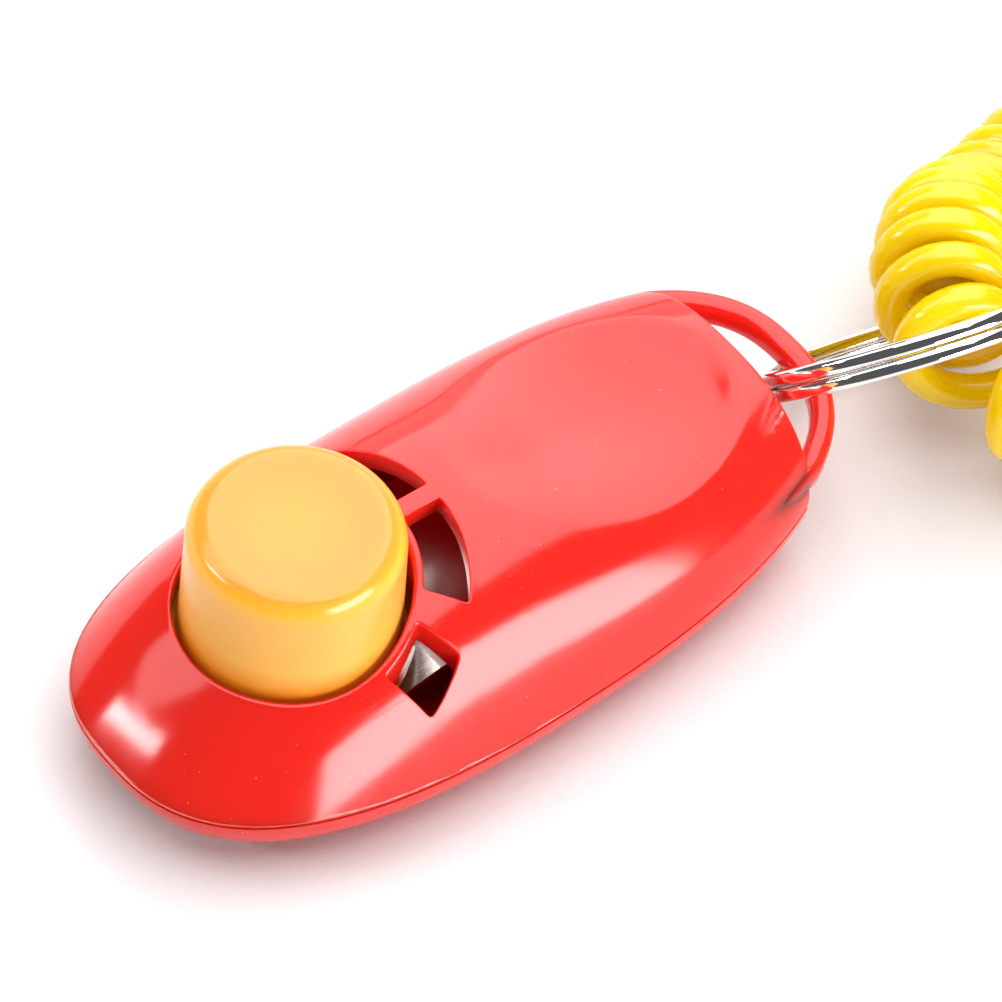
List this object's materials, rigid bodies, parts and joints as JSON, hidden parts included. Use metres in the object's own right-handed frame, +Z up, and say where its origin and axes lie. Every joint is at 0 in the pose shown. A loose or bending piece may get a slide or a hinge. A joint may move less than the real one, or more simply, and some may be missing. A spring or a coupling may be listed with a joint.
{
  "type": "clicker trainer",
  "caption": "Oval dog-training clicker with a raised push button, thumb dish, sound slots, split key ring and coiled wrist strap.",
  "frame": {"origin": "centre of the case's flat underside, on the surface that it rests on", "axes": "+X from the button to the loop along the case, +Z up out of the thumb dish, +Y across the case"},
  "size_m": [0.1322, 0.0519, 0.0235],
  "materials": {
    "red_plastic": "gloss red moulded plastic",
    "button_plastic": "satin-gloss orange-yellow moulded plastic",
    "spring_steel": "rolled spring steel",
    "zinc_steel": "bright zinc-plated steel",
    "chrome_ring": "polished nickel plating",
    "yellow_cord": "glossy translucent yellow plastic"
  },
  "bodies": {
    "case": {"top_shell": "red_plastic", "bottom_shell": "red_plastic", "reed_screw_left": "zinc_steel", "reed_screw_right": "zinc_steel", "case_screw_front": "zinc_steel", "case_screw_rear": "zinc_steel"},
    "button": {"button": "button_plastic"},
    "reed": {"click_reed": "spring_steel"},
    "ring": {"key_ring": "chrome_ring"},
    "strap": {"wrist_coil": "yellow_cord", "coil_sleeve": "yellow_cord"}
  },
  "joints": [
    {"name": "button_press", "type": "slide", "parent": "case", "child": "button", "axis": [0, 0, -1], "range_m": [0, 0.0018], "stiffness_N_per_m": 1200},
    {"name": "reed_flex", "type": "hinge", "parent": "case", "child": "reed", "pos_m": [0.013, 0, 0.007], "axis": [0, -1, 0], "range_deg": [0, 3.5]},
    {"name": "ring_swing", "type": "hinge", "parent": "case", "child": "ring", "pos_m": [0.03, -0.002, 0.00805], "axis": [0, 0, 1], "range_deg": [-5, 60]},
    {"name": "strap_slide", "type": "hinge", "parent": "ring", "child": "strap", "pos_m": [0.0395, -0.0065, 0.0108], "axis": [-0.1794, -0.7574, -0.6278], "range_deg": [0, 45]}
  ],
  "couplings": [
    {"joint": "reed_flex", "follows": "button_press", "rad_per_m": 33.3}
  ]
}
